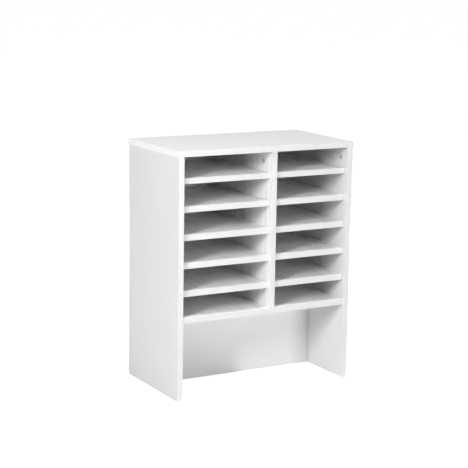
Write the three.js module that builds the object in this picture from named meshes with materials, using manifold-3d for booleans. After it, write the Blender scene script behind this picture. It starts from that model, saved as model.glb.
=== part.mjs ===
import * as THREE from 'three';
import { mergeVertices } from 'three/addons/utils/BufferGeometryUtils.js';
import Module from 'manifold-3d';

// Pigeonhole mail sorter: a flat-pack cabinet of white boards, with two columns of letter slots
// over an open bay. Millimetres, +Z up, front towards -Y, origin under the middle of the cabinet.

// Carcass
const BOARD = 18;
const HEIGHT = 780;
const DEPTH = 350;
const LEFT_OPENING = 310;
const RIGHT_OPENING = 260;
const TOP_OVERHANG = 3;
const INNER_SETBACK = 5;
const LOWER_PANEL_SETBACK = 212;

// Clear heights of the slots, from the top down; the bay takes what is left of the height
const TOP_SLOT_CLEAR = 66.5;
const SLOT_CLEAR = 69.5;
const LOWEST_SLOT_CLEAR = 63.5;
const SHELVES_PER_COLUMN = 5;

// Rear back, laid in a rebate of the side boards
const BACK_THICKNESS = 3;
const REBATE_WIDTH = 8;
const BACK_SIDE_GAP = 0.5;

// Loose shelves and the pins that carry them
const SHELF_SETBACK = 15;
const SHELF_SIDE_GAP = 0.5;
const SHELF_REAR_GAP = 1;
const PIN_DIAMETER = 5;
const PIN_REACH = 8;
const PIN_INSET = 45;
const PIN_CHAMFER = 0.6;

// Cam fittings that draw the top down onto the uprights
const CAM_DIAMETER = 15;
const CAM_DROP = 34;
const CAM_LIP = 4.4;
const CROSS_LENGTH = 7;
const CROSS_WIDTH = 1.6;
const CROSS_DEPTH = 2.4;
const BOLT_DIAMETER = 6;
const BOLT_NECK_DIAMETER = 4;
const BOLT_HEAD_HEIGHT = 5;
const BOLT_CHAMFER = 0.6;
const THREAD_DIAMETER = 5;
const THREAD_LENGTH = 11;
const SIDE_FITTING_INSET = 40;
const DIVIDER_FITTING_INSET = 54;

// Play between a fitting and its bore
const FIT_GAP = 0.3;

// Facets round a pin and round a cam
const PIN_SIDES = 12;
const CAM_SIDES = 24;

// Levels and faces that follow from the sizes above
const INNER_WIDTH = LEFT_OPENING + BOARD + RIGHT_OPENING;
const LEFT_INNER = -INNER_WIDTH / 2;
const RIGHT_INNER = INNER_WIDTH / 2;
const DIVIDER_LEFT = LEFT_INNER + LEFT_OPENING;
const DIVIDER_RIGHT = DIVIDER_LEFT + BOARD;
const FRONT = -DEPTH / 2;
const REAR = DEPTH / 2;
const BACK_FACE = REAR - BACK_THICKNESS;
const TOP_UNDERSIDE = HEIGHT - BOARD;
const SHELF_PITCH = SLOT_CLEAR + BOARD;
const HIGHEST_SHELF_UNDERSIDE = TOP_UNDERSIDE - TOP_SLOT_CLEAR - BOARD;
const LOWEST_SHELF_UNDERSIDE = HIGHEST_SHELF_UNDERSIDE - (SHELVES_PER_COLUMN - 1) * SHELF_PITCH;
const BASE_TOP = LOWEST_SHELF_UNDERSIDE - LOWEST_SLOT_CLEAR;
const BASE_UNDERSIDE = BASE_TOP - BOARD;
const SHELF_FRONT = FRONT + SHELF_SETBACK;
const SHELF_REAR = BACK_FACE - SHELF_REAR_GAP;
const PIN_RADIUS = PIN_DIAMETER / 2;
const PIN_EMBED = BOARD / 2;
const CAM_HEIGHT = TOP_UNDERSIDE - CAM_DROP;
const CAM_RADIUS = CAM_DIAMETER / 2 - FIT_GAP;
const BOLT_RADIUS = BOLT_DIAMETER / 2;
const CAM_POCKET_DEPTH = BOARD / 2 + BOLT_RADIUS + 2 * FIT_GAP;

const boardWhite = new THREE.MeshStandardMaterial({ color: 0xeeeeec, roughness: 0.4, metalness: 0 });
const shelfWhite = new THREE.MeshStandardMaterial({ color: 0xececea, roughness: 0.4, metalness: 0 });
const backWhite = new THREE.MeshStandardMaterial({ color: 0xe4e4e1, roughness: 0.5, metalness: 0 });
const zinc = new THREE.MeshStandardMaterial({ color: 0xa9abac, roughness: 0.42, metalness: 1 });
const steel = new THREE.MeshStandardMaterial({ color: 0xb9bbbd, roughness: 0.3, metalness: 1 });

const wasm = await Module();
wasm.setup();

function toSolid(geometry) {
  const bare = geometry.clone();
  bare.deleteAttribute('normal');
  bare.deleteAttribute('uv');
  const merged = mergeVertices(bare);
  return new wasm.Manifold(new wasm.Mesh({
    numProp: 3,
    vertProperties: new Float32Array(merged.attributes.position.array),
    triVerts: new Uint32Array(merged.index.array),
  }));
}

// A geometry with every cutter taken out of it.
function cut(geometry, cutters) {
  let solid = toSolid(geometry);
  for (const cutter of cutters) solid = solid.subtract(toSolid(cutter));
  const { vertProperties, triVerts } = solid.getMesh();
  const result = new THREE.BufferGeometry();
  result.setAttribute('position', new THREE.BufferAttribute(vertProperties, 3));
  result.setIndex(new THREE.BufferAttribute(triVerts, 1));
  result.computeVertexNormals();
  return result;
}

// A box between two opposite corners, each [x, y, z].
function block(low, high) {
  const [width, depth, height] = high.map((value, axis) => value - low[axis]);
  const middle = high.map((value, axis) => (value + low[axis]) / 2);
  return new THREE.BoxGeometry(width, depth, height).translate(...middle);
}

// A round bar along X from x = start to x = end.
function barAlongX(radius, start, end, y, z, sides) {
  const bar = new THREE.CylinderGeometry(radius, radius, end - start, sides).rotateZ(-Math.PI / 2);
  return bar.translate((start + end) / 2, y, z);
}

// A round bar along Z from z = start to z = end.
function barAlongZ(radius, x, y, start, end, sides) {
  const bar = new THREE.CylinderGeometry(radius, radius, end - start, sides).rotateX(Math.PI / 2);
  return bar.translate(x, y, (start + end) / 2);
}

function addPiece(group, name, geometry, material, x = 0, y = 0, z = 0) {
  const mesh = new THREE.Mesh(geometry, material);
  mesh.name = name;
  mesh.position.set(x, y, z);
  group.add(mesh);
  return mesh;
}

// Rows count down from the top, so row 1 is the highest shelf.
const rows = Array.from({ length: SHELVES_PER_COLUMN }, (_, index) => ({
  number: index + 1,
  underside: HIGHEST_SHELF_UNDERSIDE - index * SHELF_PITCH,
}));
const pinPlaces = [
  { where: 'front', y: SHELF_FRONT + PIN_INSET },
  { where: 'rear', y: SHELF_REAR - PIN_INSET },
];
const pinHeight = (row) => row.underside - FIT_GAP - PIN_RADIUS;

// The three uprights that carry the top. facing is the side on which an upright's cams show.
const uprights = [
  { name: 'left_side', left: LEFT_INNER - BOARD, right: LEFT_INNER, facing: 1,
    camFront: FRONT + SIDE_FITTING_INSET, camRear: REAR - SIDE_FITTING_INSET },
  { name: 'divider', left: DIVIDER_LEFT, right: DIVIDER_RIGHT, facing: -1,
    camFront: FRONT + INNER_SETBACK + DIVIDER_FITTING_INSET, camRear: BACK_FACE - DIVIDER_FITTING_INSET },
  { name: 'right_side', left: RIGHT_INNER, right: RIGHT_INNER + BOARD, facing: -1,
    camFront: FRONT + SIDE_FITTING_INSET, camRear: REAR - SIDE_FITTING_INSET },
];
for (const upright of uprights) {
  upright.middle = (upright.left + upright.right) / 2;
  upright.camFace = upright.facing > 0 ? upright.right : upright.left;
  upright.camPlaces = [{ where: 'front', y: upright.camFront }, { where: 'rear', y: upright.camRear }];
}
const [leftSide, divider, rightSide] = uprights;

// A cam's pocket in the face of an upright, and the bolt's bore down to it from the upright's end.
function camCutters(upright) {
  const far = upright.camFace - upright.facing * CAM_POCKET_DEPTH;
  const near = upright.camFace + upright.facing * BOARD;
  const start = Math.min(near, far);
  const end = Math.max(near, far);
  return upright.camPlaces.flatMap(({ y }) => [
    barAlongX(CAM_DIAMETER / 2, start, end, y, CAM_HEIGHT, CAM_SIDES),
    barAlongZ(BOLT_RADIUS + FIT_GAP, upright.middle, y, CAM_HEIGHT, TOP_UNDERSIDE + BOARD, PIN_SIDES),
  ]);
}

// Pin holes along X between two faces, one for each pin of each row.
function pinCutters(start, end) {
  return rows.flatMap((row) => pinPlaces.map(({ y }) =>
    barAlongX(PIN_RADIUS + FIT_GAP, start, end, y, pinHeight(row), PIN_SIDES)));
}

// The X span of a cut that goes some way into a side board from its inner face.
function inwardSpan(innerFace, way) {
  const inward = Math.sign(-innerFace);
  return [innerFace - inward * way, innerFace + inward * BOARD].sort((a, b) => a - b);
}

function sidePanel(upright, innerFace) {
  const blank = block([upright.left, FRONT, 0], [upright.right, REAR, TOP_UNDERSIDE]);
  const [rebateLeft, rebateRight] = inwardSpan(innerFace, REBATE_WIDTH);
  const rebate = block(
    [rebateLeft, BACK_FACE, BASE_UNDERSIDE],
    [rebateRight, REAR + BOARD, TOP_UNDERSIDE + BOARD],
  );
  const pinHoles = pinCutters(...inwardSpan(innerFace, PIN_EMBED + FIT_GAP));
  return cut(blank, [rebate, ...pinHoles, ...camCutters(upright)]);
}

function centreDivider() {
  const blank = block(
    [divider.left, FRONT + INNER_SETBACK, BASE_TOP],
    [divider.right, BACK_FACE, TOP_UNDERSIDE],
  );
  const pinHoles = pinCutters(divider.left - BOARD, divider.right + BOARD);
  return cut(blank, [...pinHoles, ...camCutters(divider)]);
}

function topPanel() {
  const reach = INNER_WIDTH / 2 + BOARD + TOP_OVERHANG;
  const blank = block([-reach, FRONT, TOP_UNDERSIDE], [reach, REAR, HEIGHT]);
  const threadHoles = uprights.flatMap((upright) => upright.camPlaces.map(({ y }) =>
    barAlongZ(THREAD_DIAMETER / 2 + FIT_GAP, upright.middle, y,
      TOP_UNDERSIDE - BOARD, TOP_UNDERSIDE + THREAD_LENGTH + FIT_GAP, PIN_SIDES)));
  return cut(blank, threadHoles);
}

// A bar turned about X, chamfered at both ends, centred on its own middle.
function pin(length) {
  const half = length / 2;
  const outline = [
    [0, -half], [PIN_RADIUS - PIN_CHAMFER, -half], [PIN_RADIUS, -half + PIN_CHAMFER],
    [PIN_RADIUS, half - PIN_CHAMFER], [PIN_RADIUS - PIN_CHAMFER, half], [0, half],
  ].map(([radius, height]) => new THREE.Vector2(radius, height));
  return new THREE.LatheGeometry(outline, PIN_SIDES).rotateZ(-Math.PI / 2);
}

// A cam with its face at x = 0 and its body towards -X: a drum with a cross recess in the face, a
// chamber for the bolt's head and a narrower slot above it, whose lips hold the head.
function cam() {
  const boltPlane = BOARD / 2 - FIT_GAP;
  const drum = barAlongX(CAM_RADIUS, -(CAM_POCKET_DEPTH - 2 * FIT_GAP), 0, 0, 0, CAM_SIDES);
  const across = BOLT_RADIUS + FIT_GAP;
  const neckAcross = BOLT_NECK_DIAMETER / 2 + FIT_GAP;
  const headHalf = BOLT_HEAD_HEIGHT / 2 + FIT_GAP;
  const lipTop = BOLT_HEAD_HEIGHT / 2 + CAM_LIP - FIT_GAP;
  const chamber = block([-BOARD, -across, -headHalf], [across - boltPlane, across, headHalf]);
  const slot = block([-BOARD, -neckAcross, 0], [neckAcross - boltPlane, neckAcross, CAM_DIAMETER]);
  const shankRoom = block([-BOARD, -across, lipTop], [across - boltPlane, across, CAM_DIAMETER]);
  const crossArms = [
    block([-CROSS_DEPTH, -CROSS_LENGTH / 2, -CROSS_WIDTH / 2], [BOARD, CROSS_LENGTH / 2, CROSS_WIDTH / 2]),
    block([-CROSS_DEPTH, -CROSS_WIDTH / 2, -CROSS_LENGTH / 2], [BOARD, CROSS_WIDTH / 2, CROSS_LENGTH / 2]),
  ];
  return cut(drum, [chamber, slot, shankRoom, ...crossArms]);
}

// A connecting bolt turned about Z, with z = 0 where the top meets the upright: a thread above, a
// shank, a neck and a head below.
function bolt() {
  const headBottom = -CAM_DROP - BOLT_HEAD_HEIGHT / 2;
  const headTop = headBottom + BOLT_HEAD_HEIGHT;
  const neckTop = headTop + CAM_LIP;
  const neckRadius = BOLT_NECK_DIAMETER / 2;
  const threadRadius = THREAD_DIAMETER / 2;
  const outline = [
    [0, headBottom], [BOLT_RADIUS - BOLT_CHAMFER, headBottom], [BOLT_RADIUS, headBottom + BOLT_CHAMFER],
    [BOLT_RADIUS, headTop], [neckRadius, headTop], [neckRadius, neckTop],
    [BOLT_RADIUS, neckTop], [BOLT_RADIUS, -FIT_GAP], [threadRadius, -FIT_GAP],
    [threadRadius, THREAD_LENGTH - BOLT_CHAMFER], [threadRadius - BOLT_CHAMFER, THREAD_LENGTH],
    [0, THREAD_LENGTH],
  ].map(([radius, height]) => new THREE.Vector2(radius, height));
  return new THREE.LatheGeometry(outline, PIN_SIDES).rotateX(Math.PI / 2);
}

function carcass() {
  const group = new THREE.Group();
  addPiece(group, 'top_panel', topPanel(), boardWhite);
  addPiece(group, 'left_side_panel', sidePanel(leftSide, LEFT_INNER), boardWhite);
  addPiece(group, 'right_side_panel', sidePanel(rightSide, RIGHT_INNER), boardWhite);
  addPiece(group, 'centre_divider', centreDivider(), boardWhite);
  const base = block(
    [LEFT_INNER, FRONT + INNER_SETBACK, BASE_UNDERSIDE],
    [RIGHT_INNER, BACK_FACE, BASE_TOP],
  );
  addPiece(group, 'base_shelf', base, boardWhite);
  const panelFront = FRONT + LOWER_PANEL_SETBACK;
  const lower = block([LEFT_INNER, panelFront, 0], [RIGHT_INNER, panelFront + BOARD, BASE_UNDERSIDE]);
  addPiece(group, 'lower_panel', lower, boardWhite);
  const backReach = INNER_WIDTH / 2 + REBATE_WIDTH - BACK_SIDE_GAP;
  const back = block([-backReach, BACK_FACE, BASE_UNDERSIDE], [backReach, REAR, TOP_UNDERSIDE]);
  addPiece(group, 'back_panel', back, backWhite);
  return group;
}

function fittings() {
  const group = new THREE.Group();
  for (const upright of uprights) {
    const faceX = upright.camFace - upright.facing * FIT_GAP;
    for (const { where, y } of upright.camPlaces) {
      const drum = addPiece(group, `${upright.name}_${where}_cam`, cam(), zinc, faceX, y, CAM_HEIGHT);
      drum.rotation.z = upright.facing > 0 ? 0 : Math.PI;
      addPiece(group, `${upright.name}_${where}_bolt`, bolt(), steel, upright.middle, y, TOP_UNDERSIDE);
    }
  }
  return group;
}

function pins() {
  const group = new THREE.Group();
  const wallPinLength = PIN_EMBED + PIN_REACH;
  const wallPinMiddle = (PIN_REACH - PIN_EMBED) / 2;
  const holders = [
    { name: 'left_side', length: wallPinLength, x: LEFT_INNER + wallPinMiddle },
    { name: 'divider', length: BOARD + 2 * PIN_REACH, x: divider.middle },
    { name: 'right_side', length: wallPinLength, x: RIGHT_INNER - wallPinMiddle },
  ];
  for (const holder of holders) {
    for (const row of rows) {
      for (const { where, y } of pinPlaces) {
        const name = `${holder.name}_${where}_pin_${row.number}`;
        addPiece(group, name, pin(holder.length), steel, holder.x, y, pinHeight(row));
      }
    }
  }
  return group;
}

function shelves() {
  const group = new THREE.Group();
  const columns = [
    { name: 'left', low: LEFT_INNER, high: DIVIDER_LEFT },
    { name: 'right', low: DIVIDER_RIGHT, high: RIGHT_INNER },
  ];
  for (const column of columns) {
    const width = column.high - column.low - 2 * SHELF_SIDE_GAP;
    const x = (column.low + column.high) / 2;
    const y = (SHELF_FRONT + SHELF_REAR) / 2;
    for (const row of rows) {
      const plate = new THREE.BoxGeometry(width, SHELF_REAR - SHELF_FRONT, BOARD);
      const name = `${column.name}_shelf_${row.number}`;
      addPiece(group, name, plate, shelfWhite, x, y, row.underside + BOARD / 2);
    }
  }
  return group;
}

const sorter = new THREE.Group();
sorter.add(carcass(), fittings(), pins(), shelves());

export default sorter;
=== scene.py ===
"""White pigeonhole mail sorter: finished boards, edging, fittings and a small photo studio.

The file is laid out as an add-on. Run as a script, it dresses the fixed frame of the sorter piece by
piece and sets up the stage. Lengths are in metres, +Z is up and the open front faces -Y.
"""

import math
from functools import cache

import bmesh
import bpy
import numpy as np
from bpy.props import FloatProperty, FloatVectorProperty, IntProperty, PointerProperty
from mathutils import Matrix, Vector


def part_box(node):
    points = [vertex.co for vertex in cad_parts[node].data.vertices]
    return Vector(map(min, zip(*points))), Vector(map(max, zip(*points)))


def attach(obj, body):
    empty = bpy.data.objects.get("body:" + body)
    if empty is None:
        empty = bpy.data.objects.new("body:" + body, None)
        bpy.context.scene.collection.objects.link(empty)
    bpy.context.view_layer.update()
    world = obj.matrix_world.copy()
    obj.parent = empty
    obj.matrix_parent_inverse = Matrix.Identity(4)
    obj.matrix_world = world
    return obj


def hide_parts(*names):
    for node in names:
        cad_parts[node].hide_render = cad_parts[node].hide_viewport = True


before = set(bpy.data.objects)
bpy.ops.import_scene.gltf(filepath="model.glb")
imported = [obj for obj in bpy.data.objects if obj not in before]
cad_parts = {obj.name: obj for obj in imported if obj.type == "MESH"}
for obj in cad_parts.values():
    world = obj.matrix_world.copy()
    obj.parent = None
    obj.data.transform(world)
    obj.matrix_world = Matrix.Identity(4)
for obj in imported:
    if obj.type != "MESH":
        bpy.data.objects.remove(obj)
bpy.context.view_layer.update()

bl_info = {
    "name": "Pigeonhole Mail Sorter",
    "version": (1, 0, 0),
    "blender": (4, 5, 0),
    "location": "View3D > Sidebar > Mail Sorter",
    "description": "Dresses a flat-pack mail sorter with boards, edging, fittings and a studio",
    "category": "Add Mesh",
}

# Names in the frame
CARCASS = "carcass"
NODES = sorted(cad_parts)
SHELVES = [name for name in NODES if "_shelf_" in name]
PINS = [name for name in NODES if "_pin_" in name]
CAMS = [name for name in NODES if name.endswith("_cam")]
BOLTS = [name for name in NODES if name.endswith("_bolt")]
SIDE_BOARDS = {"left_side": "left_side_panel", "right_side": "right_side_panel"}
UPRIGHTS = {**SIDE_BOARDS, "divider": "centre_divider"}

# A side of a box: its axis, and 0 for the low end or 1 for the high end
X, Y, Z = range(3)
SIDES = {"left": (X, 0), "right": (X, 1), "front": (Y, 0), "rear": (Y, 1), "under": (Z, 0)}
UP = np.array([0.0, 0.0, 1.0])
X_AXIS = np.array([1.0, 0.0, 0.0])
Y_AXIS = np.array([0.0, 1.0, 0.0])

# How far the printed grain darkens or lightens a board
FAINT_GRAIN = 0.005
PLAIN_GRAIN = 0.09
BOLD_GRAIN = 0.10

# Width and length of a streak of that grain
STREAK_WIDTH = 0.011
STREAK_LENGTH = 0.5

# Facets round a pin, a screw's sink, a bore and a head with a cross recess
PIN_SIDES = 32
SINK_SIDES = 48
BORE_SIDES = 64
HEAD_SIDES = 72

# A cross recess: reach and width of its arms as shares of the head's radius, and its depth
CAM_RECESS = (0.5, 0.24, 0.0026)
SCREW_RECESS = (0.62, 0.26, 0.0012)
# The recess's floor and lip as shares of its outline, and the head's rim as a share of its radius
RECESS_FLOOR = 0.55
RECESS_LIP = 1.06
HEAD_RIM = 0.06

# The cams under the base shelf and behind the lower panel
HIDDEN_CAM_MARGIN = 0.06
HIDDEN_CAM_RECESS = 0.0003

# The pins' rounded ends
PIN_NOSE = 0.0009
NOSE_POINTS = 5

# The back, its rebate in the side boards, and its screws
BACK_ARRIS = 0.0003
BACK_ARRIS_STEPS = 2
REBATE_ARRIS = 0.0001
REBATE_MIDDLE = 0.0045
SCREW_ROWS = 5
SCREW_MARGIN = 0.02
SCREW_PLAY = 0.0001
SHANK_SHARE = 0.4
SINK_DEPTH = 0.0019
SHANK_BELOW_HEAD = 0.0006
HOLE_BELOW_SINK = 0.0008

# Where the lamps point, and the width and height of each one's soft box
LAMP_AIM = (0.0, 0.0, 0.4)
SOFT_BOXES = {
    "key": (0.25, 1.0),
    "front": (1.0, 0.5),
    "left": (0.9, 0.9),
    "rear": (1.4, 0.4),
    "overhead": (1.2, 1.2),
}

# The floor's rings, and the distances between which its glow grows to white
FLOOR_MIDDLE = 0.25
FLOOR_RINGS = 10
FLOOR_SIDES = 64
GLOW_START = 0.5
GLOW_END = 1.6
SENSOR_WIDTH = 36.0

MERGE_DISTANCE = 1e-7
NEARLY_ZERO = 1e-9
SHARP_ANGLE = math.radians(40)
MILLIMETRE = 0.001


class SorterSizes(bpy.types.PropertyGroup):
    """Sizes of the finish and of the fittings that the frame doesn't hold."""

    arris: FloatProperty(
        name="Arris", description="Radius of a board's softened edges",
        default=0.0005, min=0.0001, max=0.002, unit="LENGTH", precision=5)
    edging: FloatProperty(
        name="Edging", description="Thickness of the strip glued on a board's edge",
        default=0.0012, min=0.0004, max=0.003, unit="LENGTH", precision=5)
    edging_arris: FloatProperty(
        name="Edging arris", description="Radius of an edging strip's corners",
        default=0.0005, min=0.0001, max=0.0014, unit="LENGTH", precision=5)
    arris_steps: IntProperty(
        name="Arris steps", description="Facets across a quarter of an arris", default=3, min=1, max=8)
    bore_play: FloatProperty(
        name="Bore play", description="Gap between a fitting and the wall of its bore",
        default=0.0003, min=0.0001, max=0.001, unit="LENGTH", precision=5)
    joint_gap: FloatProperty(
        name="Joint gap", description="Gap left between the lower panel and each side board",
        default=0.0008, min=0.0, max=0.002, unit="LENGTH", precision=5)
    cam_depth: FloatProperty(
        name="Cam depth", description="Depth of a cam's drum below the board's face",
        default=0.0118, min=0.005, max=0.016, unit="LENGTH", precision=4)
    cam_inset: FloatProperty(
        name="Cam inset", description="Distance of a hidden cam from the joint that it draws together",
        default=0.034, min=0.02, max=0.05, unit="LENGTH", precision=4)
    screw_head: FloatProperty(
        name="Screw head", description="Diameter of a countersunk screw in the back",
        default=0.007, min=0.004, max=0.012, unit="LENGTH", precision=4)


class SorterColours(bpy.types.PropertyGroup):
    """Colours of the finishes. The side white is a greyer copy and the shelf white a brighter copy of the
    board white, and the edging and end edging are darker and brighter copies of one edging white: painted
    shade and painted light.
    """

    board: FloatVectorProperty(
        name="Board", description="White melamine of the carcass",
        default=(0.87, 0.87, 0.865), subtype="COLOR", min=0, max=1)
    # Painted shade: the side boards are the same white melamine as the board, made greyer to stand in for the
    # lesser light that falls on their faces.
    side: FloatVectorProperty(
        name="Side", description="Slightly greyer melamine of the two side boards",
        default=(0.765, 0.765, 0.76), subtype="COLOR", min=0, max=1)
    # Painted light: the shelves, divider, base shelf and lower panel take a brighter copy of the same white
    # melamine, standing in for more light on their faces.
    shelf: FloatVectorProperty(
        name="Shelf", description="Brighter white melamine of the shelves, divider and lower panel",
        default=(0.88, 0.88, 0.875), subtype="COLOR", min=0, max=1)
    # Painted light and shade: the edging and the end edging are copies of one white plastic, darker on the
    # front, rear and under strips and brighter on the left and right ends, standing in for how the light
    # falls on them.
    edging: FloatVectorProperty(
        name="Edging", description="White edging strips along the boards",
        default=(0.745, 0.745, 0.74), subtype="COLOR", min=0, max=1)
    end_edging: FloatVectorProperty(
        name="End edging", description="Brighter white edging strips on the boards' left and right ends",
        default=(0.89, 0.89, 0.885), subtype="COLOR", min=0, max=1)
    back: FloatVectorProperty(
        name="Back", description="White face of the thin back",
        default=(0.84, 0.84, 0.83), subtype="COLOR", min=0, max=1)
    core: FloatVectorProperty(
        name="Core", description="Bare particleboard inside the bores",
        default=(0.42, 0.30, 0.18), subtype="COLOR", min=0, max=1)
    zinc: FloatVectorProperty(
        name="Zinc", description="Die-cast cams",
        default=(0.62, 0.625, 0.63), subtype="COLOR", min=0, max=1)
    steel: FloatVectorProperty(
        name="Steel", description="Plated pins, screws and bolts",
        default=(0.50, 0.51, 0.52), subtype="COLOR", min=0, max=1)
    floor: FloatVectorProperty(
        name="Floor", description="Pale studio floor",
        default=(0.94, 0.94, 0.94), subtype="COLOR", min=0, max=1)


class SorterStudio(bpy.types.PropertyGroup):
    """The camera and the lamps of the stage."""

    camera_place: FloatVectorProperty(
        name="Camera place", description="Where the camera stands",
        default=(-2.2801, -3.9878, 1.3542), subtype="TRANSLATION", unit="LENGTH")
    camera_azimuth: FloatProperty(
        name="Camera azimuth", description="Turn of the camera about the vertical, 0 before the open front",
        default=math.radians(-29.53), unit="ROTATION")
    camera_fall: FloatProperty(
        name="Camera fall", description="How far the camera looks down",
        default=math.radians(10.85), unit="ROTATION")
    camera_roll: FloatProperty(
        name="Camera roll", description="Turn of the camera about its line of sight",
        default=math.radians(0.905), unit="ROTATION")
    lens: FloatProperty(
        name="Lens", description="Focal length in millimetres on a 36 mm frame", default=111.27, min=10)
    key_place: FloatVectorProperty(
        name="Key place", description="Middle of the tall narrow soft box in front at the left",
        default=(-2.624, -1.728, 1.714), subtype="TRANSLATION", unit="LENGTH")
    key_power: FloatProperty(
        name="Key power", description="Strength of the key light in watts", default=73.5, min=0)
    front_place: FloatVectorProperty(
        name="Front place", description="Middle of the low soft box in front",
        default=(0.92, -3.44, 0.50), subtype="TRANSLATION", unit="LENGTH")
    front_power: FloatProperty(
        name="Front power", description="Strength of the front light in watts", default=33.0, min=0)
    overhead_place: FloatVectorProperty(
        name="Overhead place", description="Middle of the soft box above",
        default=(0.0, -0.75, 3.9), subtype="TRANSLATION", unit="LENGTH")
    overhead_power: FloatProperty(
        name="Overhead power", description="Strength of the overhead light in watts",
        default=75.5, min=0)
    left_place: FloatVectorProperty(
        name="Left place", description="Middle of the faint soft box beside the left side",
        default=(-3.508, 0.307, 1.148), subtype="TRANSLATION", unit="LENGTH")
    left_power: FloatProperty(
        name="Left power", description="Strength of the left light in watts", default=6.5, min=0)
    rear_place: FloatVectorProperty(
        name="Rear place", description="Middle of the long soft box behind the right end, lower than the top",
        default=(2.4, 2.4, 0.52), subtype="TRANSLATION", unit="LENGTH")
    rear_power: FloatProperty(
        name="Rear power", description="Strength of the rear light in watts", default=76.0, min=0)
    ambient: FloatProperty(
        name="Ambient", description="Strength of the room's even light", default=0.0, min=0)
    shadow_glow: FloatProperty(
        name="Shadow glow", description="How white the floor looks to the eye where no lamp reaches it",
        default=0.65, min=0, max=1)


# Surfaces, each an array of rings: rows of points that close on themselves


def rounded_block(low, high, radius, steps):
    """A box with softened edges: the sum of a smaller box and a ball.

    For a turn t about Z and a rise f from -90 to 90 degrees, both taken a quarter at a time, a point
    is the smaller box's corner in that quarter plus radius * (cos f cos t, cos f sin t, sin f).
    """
    low, high = np.asarray(low, float), np.asarray(high, float)
    middle, half = (low + high) / 2, (high - low) / 2 - radius
    quarter = np.linspace(0, math.pi / 2, steps + 1)
    turn = (quarter + math.pi / 2 * np.arange(4)[:, None]).ravel()
    rise = np.concatenate([quarter - math.pi / 2, quarter])
    ball = np.stack([
        np.outer(np.cos(rise), np.cos(turn)),
        np.outer(np.cos(rise), np.sin(turn)),
        np.outer(np.sin(rise), np.ones_like(turn)),
    ], axis=-1)
    corner = np.empty_like(ball)
    corner[..., 0] = np.repeat([1, -1, -1, 1], steps + 1)
    corner[..., 1] = np.repeat([1, 1, -1, -1], steps + 1)
    corner[..., 2] = np.repeat([-1, 1], steps + 1)[:, None]
    return middle + corner * half + radius * ball


def cross_frame(axis):
    """Two unit directions that make a right-handed set with an axis along X, Y or Z."""
    axis = np.asarray(axis, float)
    across = np.roll(np.abs(axis), 1)
    return across, np.cross(axis, across)


def turned_rings(origin, axis, radii, heights, turn):
    """Rings about an axis: origin + height * axis + radius * (cos t * across + sin t * up).

    radii is one number for each ring, or one for each ring and turn.
    """
    across, up = cross_frame(axis)
    radii = np.asarray(radii, float)
    if radii.ndim == 1:
        radii = np.repeat(radii[:, None], len(turn), axis=1)
    sweep = np.cos(turn)[:, None] * across + np.sin(turn)[:, None] * up
    rise = np.asarray(heights, float)[:, None] * np.asarray(axis, float)
    return np.asarray(origin, float) + rise[:, None, :] + radii[..., None] * sweep


def full_turn(sides):
    """Angles of the corners round a full turn."""
    return np.arange(sides) * (2 * math.pi / sides)


def cross_outline(turn, reach, width):
    """Polar outline of a plus sign: the farther of two crossing bars.

    A bar along the start of the turn t reaches min(reach / |cos t|, width / 2 / |sin t|).
    """
    along = np.maximum(np.abs(np.cos(turn)), NEARLY_ZERO)
    beside = np.maximum(np.abs(np.sin(turn)), NEARLY_ZERO)
    level = np.minimum(reach / along, width / 2 / beside)
    upright = np.minimum(width / 2 / along, reach / beside)
    return np.maximum(level, upright)


def recessed_head(origin, axis, radius, recess, body):
    """A round head with a cross recess in its face, closed by the rings of its body.

    The rings run from the recess's floor, up its leaning wall, over the face and its rim, and then
    down the body, given as (radius, depth) pairs.
    """
    reach, width, depth = recess
    turn = full_turn(HEAD_SIDES)
    outline = cross_outline(turn, reach * radius, width * radius)
    rim = HEAD_RIM * radius
    bevel, lip = 0.3 * rim, 0.15 * rim
    shaped = [0 * outline, RECESS_FLOOR * outline, outline, RECESS_LIP * outline]
    shaped += [np.full_like(outline, size) for size in (radius - rim, radius - bevel, radius)]
    depths = [depth, depth, lip, 0, 0, bevel, rim]
    shaped += [np.full_like(outline, size) for size, _ in body]
    depths += [drop for _, drop in body]
    return turned_rings(origin, axis, np.array(shaped), -np.array(depths), turn)


def pin_rings(low, high):
    """A pin along X: a bar whose ends are quarter rounds of the nose radius n, turned about its axis.

    At an angle a from 0 to 90 degrees, an end has the radius r - n + n sin a at the height n - n cos a.
    """
    middle = (low + high) / 2
    radius = (high[2] - low[2]) / 2
    quarter = np.linspace(0, math.pi / 2, NOSE_POINTS)
    end_radii = radius - PIN_NOSE + PIN_NOSE * np.sin(quarter)
    end_heights = PIN_NOSE - PIN_NOSE * np.cos(quarter)
    length = high[0] - low[0]
    radii = np.concatenate([[0], end_radii, end_radii[::-1], [0]])
    heights = np.concatenate([[0], end_heights, length - end_heights[::-1], [length]])
    return turned_rings((low[0], middle[1], middle[2]), X_AXIS, radii, heights, full_turn(PIN_SIDES))


def bore_rings(origin, axis, radius, depth):
    """A plain bore: a drum from a millimetre above the face at origin to its depth below it."""
    return turned_rings(origin, axis, [radius, radius], [MILLIMETRE, -depth], full_turn(BORE_SIDES))


# Meshes


def skin(rings, first):
    """Faces over an array of rings: quads between neighbours and a cap on the first and last ring."""
    rows, columns = rings.shape[:2]
    index = first + np.arange(rows * columns).reshape(rows, columns)
    following = np.roll(index, -1, axis=1)
    quads = np.stack([index[:-1], following[:-1], following[1:], index[1:]], axis=-1).reshape(-1, 4)
    return [*quads.tolist(), index[0][::-1].tolist(), index[-1].tolist()]


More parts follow.
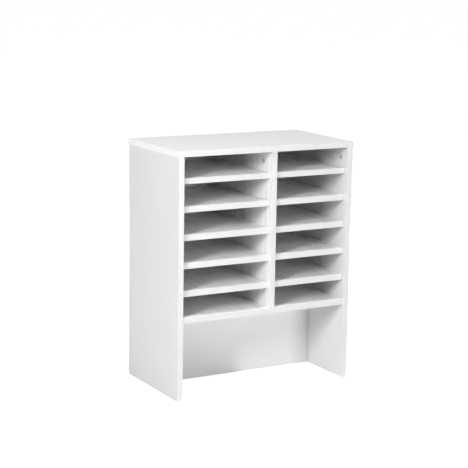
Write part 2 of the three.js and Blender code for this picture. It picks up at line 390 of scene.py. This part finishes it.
def surface_mesh(name, surfaces):
    """One mesh of several closed surfaces, with doubled points merged and faces turned outwards."""
    points, faces, count = [], [], 0
    for rings in surfaces:
        faces += skin(rings, count)
        points.append(rings.reshape(-1, 3))
        count += rings.shape[0] * rings.shape[1]
    mesh = bpy.data.meshes.new(name)
    mesh.from_pydata(np.concatenate(points).tolist(), [], faces)
    work = bmesh.new()
    work.from_mesh(mesh)
    bmesh.ops.remove_doubles(work, verts=work.verts, dist=MERGE_DISTANCE)
    bmesh.ops.recalc_face_normals(work, faces=work.faces)
    work.to_mesh(mesh)
    work.free()
    return mesh


def new_piece(name, surfaces, material):
    """A piece of the object at the origin, with its place in its mesh."""
    piece = bpy.data.objects.new(name, surface_mesh(name, surfaces))
    piece.data.materials.append(material)
    bpy.context.scene.collection.objects.link(piece)
    return piece


def bore(piece, surfaces):
    """Takes closed surfaces out of a piece. What the cut lays open shows the bare core."""
    cutter = new_piece(f"{piece.name}_bores", surfaces, core_board())
    modifier = piece.modifiers.new("bores", "BOOLEAN")
    modifier.operation = "DIFFERENCE"
    modifier.solver = "EXACT"
    modifier.material_mode = "TRANSFER"
    modifier.object = cutter
    bpy.context.view_layer.update()
    shape = piece.evaluated_get(bpy.context.evaluated_depsgraph_get())
    bored = bpy.data.meshes.new_from_object(shape)
    piece.modifiers.remove(modifier)
    blank = piece.data
    piece.data = bored
    bored.name = piece.name
    cutter_mesh = cutter.data
    bpy.data.objects.remove(cutter)
    for mesh in (blank, cutter_mesh):
        bpy.data.meshes.remove(mesh)


def settle(piece, body, slot, *nodes):
    """Shades a finished piece, hangs it under the empty of its body and hides the nodes it stands for. Its
    slot is not used.
    """
    piece.data.shade_smooth()
    piece.data.set_sharp_from_angle(angle=SHARP_ANGLE)
    flats = piece.modifiers.new("flat_faces", "WEIGHTED_NORMAL")
    flats.keep_sharp = True
    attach(piece, body)
    if nodes:
        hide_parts(*nodes)


def box_of(node):
    """A node's lowest and highest corners at rest, as arrays."""
    low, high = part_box(node)
    return np.array(low), np.array(high)


# Materials


class Wire:
    """An output socket of a node tree. Arithmetic on it adds Math nodes."""

    def __init__(self, book, socket):
        self.book = book
        self.socket = socket

    def _maths(self, operation, first, second):
        return self.book.node("ShaderNodeMath", {"operation": operation}, {0: first, 1: second})

    def __add__(self, other):
        return self._maths("ADD", self, other)

    def __radd__(self, other):
        return self._maths("ADD", other, self)

    def __sub__(self, other):
        return self._maths("SUBTRACT", self, other)

    def __rsub__(self, other):
        return self._maths("SUBTRACT", other, self)

    def __mul__(self, other):
        return self._maths("MULTIPLY", self, other)

    def __rmul__(self, other):
        return self._maths("MULTIPLY", other, self)


class NodeBook:
    """The node tree of a material or world, written through one method."""

    def __init__(self, owner):
        owner.use_nodes = True
        self.tree = owner.node_tree
        self.tree.nodes.clear()

    def node(self, kind, settings=None, sockets=None, output=0):
        """Adds a node, sets its settings and then its sockets, and gives one of its outputs."""
        made = self.tree.nodes.new(kind)
        for name, value in (settings or {}).items():
            setattr(made, name, value)
        for key, value in (sockets or {}).items():
            if isinstance(value, Wire):
                self.tree.links.new(value.socket, made.inputs[key])
            else:
                made.inputs[key].default_value = value
        return Wire(self, made.outputs[output]) if len(made.outputs) else made

    def place(self):
        """Where a point lies on its own object."""
        return self.node("ShaderNodeTexCoord", output="Object")

    def noise(self, place, size, detail=3.0, roughness=0.5):
        """Noise whose grains measure size, one length or three along X, Y and Z."""
        spread = self.node("ShaderNodeMapping", {"vector_type": "POINT"}, {
            "Vector": place, "Scale": tuple(1 / np.broadcast_to(size, 3))})
        return self.node("ShaderNodeTexNoise", {"noise_dimensions": "3D"}, {
            "Vector": spread, "Scale": 1.0, "Detail": detail, "Roughness": roughness})

    def bump(self, height, strength, distance):
        """A normal that follows the slopes of a height."""
        return self.node("ShaderNodeBump", None, {
            "Strength": strength, "Distance": distance, "Height": height})

    def spread(self, value, low, high):
        """A value between low and high, spread over 0 to 1."""
        return self.node("ShaderNodeMapRange", None, {"Value": value, "From Min": low, "From Max": high})

    def blend(self, share, first, second):
        """A colour between two colours."""
        sockets = {0: share, 6: first, 7: second}
        return self.node("ShaderNodeMix", {"data_type": "RGBA"}, sockets, output=2)

    def finish(self, sockets):
        """Closes a material with a Principled shader."""
        shader = self.node("ShaderNodeBsdfPrincipled", None, sockets)
        self.node("ShaderNodeOutputMaterial", None, {"Surface": shader})


def shade_of(colour, factor):
    """A colour with its alpha, made darker or lighter by a factor."""
    return (*(min(1.0, channel * factor) for channel in colour), 1.0)


def new_material(name):
    """A material and the book of its nodes."""
    material = bpy.data.materials.new(name)
    return material, NodeBook(material)


@cache
def melamine(shade, grain, depth):
    """White melamine with a printed grain along one axis: streaks, soft clouds and a fine peel."""
    # The shade picks the board white, the greyer side white (a painted shade) or the brighter shelf white (a
    # painted light).
    colour = getattr(bpy.context.scene.sorter_colours, shade)
    material, book = new_material(f"{shade}_melamine_{'xyz'[grain]}_{100 * depth:.0f}")
    place = book.place()
    size = [STREAK_WIDTH] * 3
    size[grain] = STREAK_LENGTH
    streaks = book.spread(book.noise(place, size, detail=4.0, roughness=0.6), 0.35, 0.65)
    clouds = book.noise(place, 0.3, detail=2.0)
    peel = book.noise(place, 0.0016, detail=1.0)
    tone = streaks * 0.8 + clouds * 0.2
    book.finish({
        "Base Color": book.blend(tone, shade_of(colour, 1 - depth), shade_of(colour, 1 + depth)),
        "Roughness": 0.66 + streaks * 0.06,
        "Normal": book.bump(streaks * 0.6 + peel * 0.4, strength=0.06, distance=0.0001),
        "Specular IOR Level": 0.1,
    })
    return material


@cache
def edging_plastic(shade):
    """Plain white edging, a little smoother than the boards, with a slow ripple along the strip."""
    # The shade picks the darker edging white (a painted shade) or the brighter end edging white (a painted
    # light).
    colour = getattr(bpy.context.scene.sorter_colours, shade)
    material, book = new_material(f"{shade}_plastic")
    place = book.place()
    ripple = book.noise(place, 0.03, detail=2.0)
    peel = book.noise(place, 0.0012, detail=1.0)
    book.finish({
        "Base Color": book.blend(ripple, shade_of(colour, 0.997), shade_of(colour, 1.003)),
        "Roughness": 0.36 + ripple * 0.06,
        "Normal": book.bump(ripple * 0.5 + peel * 0.5, strength=0.06, distance=0.0001),
    })
    return material


@cache
def painted_hardboard():
    """White-faced hardboard: a dull coat over fine fibres."""
    colour = bpy.context.scene.sorter_colours.back
    material, book = new_material("back_white")
    place = book.place()
    fibres = book.noise(place, 0.0025, detail=5.0, roughness=0.65)
    clouds = book.noise(place, 0.2, detail=2.0)
    tone = fibres * 0.4 + clouds * 0.6
    book.finish({
        "Base Color": book.blend(tone, shade_of(colour, 0.95), shade_of(colour, 1.02)),
        "Roughness": 0.42 + fibres * 0.15,
        "Normal": book.bump(fibres, strength=0.4, distance=0.0002),
    })
    return material


@cache
def core_board():
    """Bare particleboard: chips of several browns."""
    colour = bpy.context.scene.sorter_colours.core
    material, book = new_material("core_board")
    place = book.place()
    chips = book.noise(place, (0.003, 0.003, 0.0015), detail=6.0, roughness=0.75)
    book.finish({
        "Base Color": book.blend(chips, shade_of(colour, 0.45), shade_of(colour, 1.6)),
        "Roughness": 0.75 + chips * 0.2,
        "Normal": book.bump(chips, strength=0.8, distance=0.0004),
    })
    return material


@cache
def cast_zinc():
    """Dull die-cast zinc with a fine sandy grain, greyed by its oxide."""
    colour = bpy.context.scene.sorter_colours.zinc
    material, book = new_material("cast_zinc")
    place = book.place()
    sand = book.noise(place, 0.0006, detail=4.0, roughness=0.7)
    stain = book.noise(place, 0.006, detail=2.0)
    book.finish({
        "Base Color": book.blend(stain, shade_of(colour, 0.9), shade_of(colour, 1.05)),
        "Metallic": 0.45,
        "Roughness": 0.42 + sand * 0.2,
        "Normal": book.bump(sand, strength=0.5, distance=0.0001),
    })
    return material


@cache
def plated_steel():
    """Bright plated steel with faint turning marks round the X axis."""
    colour = bpy.context.scene.sorter_colours.steel
    material, book = new_material("plated_steel")
    place = book.place()
    marks = book.noise(place, (0.0004, 0.02, 0.02), detail=3.0)
    stain = book.noise(place, 0.008, detail=2.0)
    book.finish({
        "Base Color": book.blend(stain, shade_of(colour, 0.85), shade_of(colour, 1.08)),
        "Metallic": 1.0,
        "Roughness": 0.29 + marks * 0.12,
        "Normal": book.bump(marks, strength=0.3, distance=0.00005),
    })
    return material


def backdrop_share(book):
    """1 for what is seen straight, in a mirror or through glass, and 0 for light on the object."""
    kinds = ("Camera", "Glossy", "Transmission")
    camera, glossy, through = (book.node("ShaderNodeLightPath", output=f"Is {kind} Ray") for kind in kinds)
    seen = camera + glossy + through
    return book.node("ShaderNodeMath", {"operation": "MINIMUM"}, {0: seen, 1: 1.0})


# Pieces


def split_edging(low, high, sides, thickness):
    """Cuts a board's box into its core and a strip for each edged side, the first at full length."""
    core = np.array([low, high])
    strips = {}
    for side in sides:
        axis, end = SIDES[side]
        strip = core.copy()
        joint = core[end, axis] + (thickness if end == 0 else -thickness)
        strip[1 - end, axis] = joint
        core[end, axis] = joint
        strips[side] = strip
    return core, strips


def make_board(name, node, body, finish, edged, bores=(), gap=0.0):
    """A board with its edging strips, in the place of a node, shortened along X by a gap at each end."""
    sizes = bpy.context.scene.sorter_sizes
    low, high = box_of(node)
    core, strips = split_edging(low + gap * X_AXIS, high - gap * X_AXIS, edged, sizes.edging)
    surface = rounded_block(*core, sizes.arris, sizes.arris_steps)
    slot = "board" if body == CARCASS else "shelf_board"
    board = new_piece(name, [surface], finish)
    if bores:
        bore(board, bores)
    settle(board, body, slot, node)
    for side, strip in strips.items():
        surface = rounded_block(*strip, sizes.edging_arris, sizes.arris_steps)
        # Painted light and shade: left and right strips take the brighter copy of the edging white, all
        # others the darker one.
        shade = "end_edging" if side in ("left", "right") else "edging"
        piece = new_piece(f"{name}_{side}_edging", [surface], edging_plastic(shade))
        settle(piece, body, slot)


def cam_face(node):
    """The middle of a cam's face, the way that it faces along X into its column, and its radius."""
    low, high = box_of(node)
    facing = X_AXIS if node.startswith("left_side") else -X_AXIS
    face = (low + high) / 2
    face[0] = high[0] if facing[0] > 0 else low[0]
    return face, facing, (high[2] - low[2]) / 2


def hidden_cams():
    """Faces of the cams under the base shelf and behind the lower panel, and the way that each faces."""
    inset = bpy.context.scene.sorter_sizes.cam_inset
    base_low, base_high = box_of("base_shelf")
    panel_low, panel_high = box_of("lower_panel")
    across = (base_low[0] + inset, base_high[0] - inset)
    depths = (base_low[1] + HIDDEN_CAM_MARGIN, base_high[1] - HIDDEN_CAM_MARGIN)
    levels = (panel_low[2] + HIDDEN_CAM_MARGIN, panel_high[2] - HIDDEN_CAM_MARGIN)
    ceiling, rear = base_low[2] + HIDDEN_CAM_RECESS, panel_high[1] - HIDDEN_CAM_RECESS
    under = [(np.array([x, y, ceiling]), -UP) for x in across for y in depths]
    behind = [(np.array([x, rear, z]), Y_AXIS) for x in across for z in levels]
    return under, behind


def cam_pocket(face, facing, radius):
    """The bore that a cam sits in."""
    sizes = bpy.context.scene.sorter_sizes
    return bore_rings(face, facing, radius + sizes.bore_play, sizes.cam_depth + sizes.bore_play)


def upright_bores(upright, node):
    """Bores of an upright: its cam pockets and pin holes, and the rebate of the back in a side board."""
    sizes = bpy.context.scene.sorter_sizes
    bores = [cam_pocket(*cam_face(cam)) for cam in CAMS if cam.startswith(upright)]
    for pin in PINS:
        if pin.startswith(upright):
            low, high = box_of(pin)
            middle, length = (low + high) / 2, high[0] - low[0]
            start = (low[0] - sizes.bore_play, middle[1], middle[2])
            reach = [0, length + 2 * sizes.bore_play]
            radius = (high[2] - low[2]) / 2 + sizes.bore_play
            bores.append(turned_rings(start, X_AXIS, [radius, radius], reach, full_turn(PIN_SIDES)))
    if node in SIDE_BOARDS.values():
        low, high = box_of("back_panel")
        play = np.array([sizes.bore_play, 0, 0])
        overrun = [0, MILLIMETRE, MILLIMETRE]
        bores.append(rounded_block(low - play, high + play + overrun, REBATE_ARRIS, 1))
    return bores


class SORTER_OT_carcass_boards(bpy.types.Operator):
    """Make the top, the uprights, the base shelf and the lower panel, with their edging"""

    bl_idname = "sorter.carcass_boards"
    bl_label = "Carcass Boards"

    def execute(self, context):
        finish = melamine("board", X, FAINT_GRAIN)
        make_board("top_board", "top_panel", CARCASS, finish, ("front", "rear", "left", "right"))
        # The side boards take the greyer side white, a painted shade.
        side_finish = melamine("side", Z, FAINT_GRAIN)
        # The divider takes the brighter shelf white, a painted light.
        divider_finish = melamine("shelf", Z, PLAIN_GRAIN)
        for upright, node in UPRIGHTS.items():
            finish = side_finish if upright in SIDE_BOARDS else divider_finish
            bores = upright_bores(upright, node)
            make_board(f"{upright}_board", node, CARCASS, finish, ("front",), bores)
        under, behind = hidden_cams()
        radius = cam_face(CAMS[0])[2]
        # The base shelf takes the brighter shelf white, a painted light.
        finish = melamine("shelf", Y, BOLD_GRAIN)
        bores = [cam_pocket(face, facing, radius) for face, facing in under]
        make_board("base_board", "base_shelf", CARCASS, finish, ("front",), bores)
        # The lower panel takes the brighter shelf white, a painted light.
        finish = melamine("shelf", Z, FAINT_GRAIN)
        bores = [cam_pocket(face, facing, radius) for face, facing in behind]
        gap = context.scene.sorter_sizes.joint_gap
        make_board("lower_board", "lower_panel", CARCASS, finish, ("under",), bores, gap)
        return {"FINISHED"}


class SORTER_OT_shelves(bpy.types.Operator):
    """Make the loose shelves with their edging"""

    bl_idname = "sorter.shelves"
    bl_label = "Shelves"

    def execute(self, context):
        # The shelves take the brighter shelf white, a painted light.
        finish = melamine("shelf", Y, BOLD_GRAIN)
        for node in SHELVES:
            make_board(f"{node}_board", node, node, finish, ("front", "left", "right"))
        return {"FINISHED"}


def screw_places():
    """Where the screws of the back sit: in both rebates and the divider, from the base shelf up."""
    high = box_of("back_panel")[1]
    left_face, right_face = box_of("left_side_panel")[1][0], box_of("right_side_panel")[0][0]
    divider = sum(box_of("centre_divider")) / 2
    base = sum(box_of("base_shelf")) / 2
    columns = (left_face - REBATE_MIDDLE, divider[0], right_face + REBATE_MIDDLE)
    levels = np.linspace(base[2], high[2] - SCREW_MARGIN, SCREW_ROWS)
    return [(x, high[1] - SCREW_PLAY, z) for x in columns for z in levels]


def countersunk_screw(place, radius):
    """A screw's head with the start of its shank."""
    shank, end = SHANK_SHARE * radius, SINK_DEPTH + SHANK_BELOW_HEAD
    body = [(shank, SINK_DEPTH), (shank, end), (0, end)]
    return recessed_head(place, Y_AXIS, radius, SCREW_RECESS, body)


def screw_sink(place, radius):
    """The cone and hole in the back that a screw sits in, wider by a little play."""
    head, shank = radius + SCREW_PLAY, SHANK_SHARE * radius + SCREW_PLAY
    radii = [radius + MILLIMETRE, head, shank, shank]
    heights = [MILLIMETRE, 0, -SINK_DEPTH - SCREW_PLAY, -SINK_DEPTH - HOLE_BELOW_SINK]
    return turned_rings(place, Y_AXIS, radii, heights, full_turn(SINK_SIDES))


class SORTER_OT_back(bpy.types.Operator):
    """Make the thin back and the countersunk screws that hold it"""

    bl_idname = "sorter.back"
    bl_label = "Back and Screws"

    def execute(self, context):
        radius = context.scene.sorter_sizes.screw_head / 2
        places = screw_places()
        heads = [countersunk_screw(place, radius) for place in places]
        sheet = rounded_block(*box_of("back_panel"), BACK_ARRIS, BACK_ARRIS_STEPS)
        back = new_piece("back_sheet", [sheet], painted_hardboard())
        bore(back, [screw_sink(place, radius) for place in places])
        settle(back, CARCASS, "back_board", "back_panel")
        settle(new_piece("back_screws", heads, plated_steel()), CARCASS, "steel_fitting")
        return {"FINISHED"}


class SORTER_OT_cams(bpy.types.Operator):
    """Make the cams that draw the boards together, with a cross recess in each face"""

    bl_idname = "sorter.cams"
    bl_label = "Cams"

    def execute(self, context):
        depth = context.scene.sorter_sizes.cam_depth
        radius = cam_face(CAMS[0])[2]
        body = [(radius, depth), (0, depth)]
        for node in CAMS:
            face, facing, _ = cam_face(node)
            drum = recessed_head(face, facing, radius, CAM_RECESS, body)
            cam = new_piece(f"{node}_drum", [drum], cast_zinc())
            settle(cam, CARCASS, "zinc_fitting", node)
        under, behind = hidden_cams()
        for name, group in (("base_cams", under), ("lower_cams", behind)):
            drums = [recessed_head(face, facing, radius, CAM_RECESS, body) for face, facing in group]
            settle(new_piece(name, drums, cast_zinc()), CARCASS, "zinc_fitting")
        return {"FINISHED"}


class SORTER_OT_pins(bpy.types.Operator):
    """Make the shelf pins of each upright, and finish the connecting bolts"""

    bl_idname = "sorter.pins"
    bl_label = "Pins and Bolts"

    def execute(self, context):
        for upright in UPRIGHTS:
            nodes = [pin for pin in PINS if pin.startswith(upright)]
            bars = [pin_rings(*box_of(node)) for node in nodes]
            pins = new_piece(f"{upright}_pins", bars, plated_steel())
            settle(pins, CARCASS, "steel_fitting", *nodes)
        for node in BOLTS:
            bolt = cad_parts[node]
            bolt.data.materials.clear()
            bolt.data.materials.append(plated_steel())
        return {"FINISHED"}


def area_lamp(name, place, width, height, power):
    """A soft box of width by height that stands at place and points at the object."""
    data = bpy.data.lights.new(name, "AREA")
    data.shape = "RECTANGLE"
    data.size, data.size_y = width, height
    data.energy = power
    lamp = bpy.data.objects.new(name, data)
    lamp.location = place
    lamp.rotation_euler = (Vector(LAMP_AIM) - Vector(place)).to_track_quat("-Z", "Y").to_euler()
    bpy.context.scene.collection.objects.link(lamp)


class SORTER_OT_stage(bpy.types.Operator):
    """Set up the floor, the pale room, the lamps and the camera"""

    bl_idname = "sorter.stage"
    bl_label = "Stage"

    def execute(self, context):
        scene = context.scene
        studio = scene.sorter_studio
        scene.view_settings.view_transform = "Standard"
        self.make_floor(scene, studio)
        self.make_room(scene, studio)
        for name, (width, height) in SOFT_BOXES.items():
            place, power = getattr(studio, f"{name}_place"), getattr(studio, f"{name}_power")
            area_lamp(name, place, width, height, power)
        self.make_camera(scene, studio)
        return {"FINISHED"}

    def make_floor(self, scene, studio):
        """A round floor, a plain disc of rings whose radius doubles from ring to ring.

        To the eye it glows, near the object with the shadow glow and from there to white, so that it
        keeps the object's shadow and runs into the white room.
        """
        radii = FLOOR_MIDDLE * 2.0 ** np.arange(FLOOR_RINGS)
        rings = turned_rings((0, 0, 0), UP, radii, np.zeros(FLOOR_RINGS), full_turn(FLOOR_SIDES))
        mesh = bpy.data.meshes.new("floor")
        mesh.from_pydata(rings.reshape(-1, 3).tolist(), [], skin(rings, 0)[:-1])
        floor = bpy.data.objects.new("floor", mesh)
        scene.collection.objects.link(floor)
        material, book = new_material("studio_floor")
        matt = book.node("ShaderNodeBsdfDiffuse", None, {"Color": (*scene.sorter_colours.floor, 1.0)})
        place = book.place()
        distance = book.node("ShaderNodeVectorMath", {"operation": "LENGTH"}, {0: place}, output="Value")
        away = book.node("ShaderNodeMapRange", {"interpolation_type": "SMOOTHSTEP"}, {
            "Value": distance, "From Min": GLOW_START, "From Max": GLOW_END,
            "To Min": studio.shadow_glow, "To Max": 1.0})
        glow = book.node("ShaderNodeEmission", None, {"Strength": backdrop_share(book) * away})
        both = book.node("ShaderNodeAddShader", None, {0: matt, 1: glow})
        book.node("ShaderNodeOutputMaterial", None, {"Surface": both})
        mesh.materials.append(material)

    def make_room(self, scene, studio):
        """A white room to the eye, which lights the object with the ambient strength."""
        world = bpy.data.worlds.new("room")
        scene.world = world
        book = NodeBook(world)
        strength = studio.ambient + backdrop_share(book) * (1 - studio.ambient)
        light = book.node("ShaderNodeBackground", None, {"Color": (1, 1, 1, 1), "Strength": strength})
        book.node("ShaderNodeOutputWorld", None, {"Surface": light})

    def make_camera(self, scene, studio):
        """A camera that faces the open front, turned by azimuth, lowered by fall and rolled."""
        data = bpy.data.cameras.new("photo_camera")
        data.lens = studio.lens
        data.sensor_width = SENSOR_WIDTH
        camera = bpy.data.objects.new("photo_camera", data)
        turn = Matrix.Rotation(studio.camera_azimuth, 4, "Z")
        tilt = Matrix.Rotation(math.pi / 2 - studio.camera_fall, 4, "X")
        roll = Matrix.Rotation(studio.camera_roll, 4, "Z")
        camera.matrix_world = Matrix.Translation(studio.camera_place) @ turn @ tilt @ roll
        scene.collection.objects.link(camera)
        scene.camera = camera


BUILDERS = (
    SORTER_OT_carcass_boards,
    SORTER_OT_shelves,
    SORTER_OT_back,
    SORTER_OT_cams,
    SORTER_OT_pins,
    SORTER_OT_stage,
)
GROUPS = {"sorter_sizes": SorterSizes, "sorter_colours": SorterColours, "sorter_studio": SorterStudio}


class SORTER_PT_panel(bpy.types.Panel):
    """Lists the builders of the mail sorter"""

    bl_idname = "SORTER_PT_panel"
    bl_label = "Mail Sorter"
    bl_space_type = "VIEW_3D"
    bl_region_type = "UI"
    bl_category = "Mail Sorter"

    def draw(self, context):
        for builder in BUILDERS:
            self.layout.operator(builder.bl_idname)
        for group, kind in GROUPS.items():
            for name in kind.__annotations__:
                self.layout.prop(getattr(context.scene, group), name)


def register():
    for group in (*GROUPS.values(), *BUILDERS, SORTER_PT_panel):
        bpy.utils.register_class(group)
    for name, group in GROUPS.items():
        setattr(bpy.types.Scene, name, PointerProperty(type=group))


def unregister():
    for name in GROUPS:
        delattr(bpy.types.Scene, name)
    for group in (SORTER_PT_panel, *reversed(BUILDERS), *reversed(GROUPS.values())):
        bpy.utils.unregister_class(group)


def main():
    """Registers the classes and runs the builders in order."""
    register()
    bpy.ops.sorter.carcass_boards()
    bpy.ops.sorter.shelves()
    bpy.ops.sorter.back()
    bpy.ops.sorter.cams()
    bpy.ops.sorter.pins()
    bpy.ops.sorter.stage()


if __name__ == "__main__":
    main()
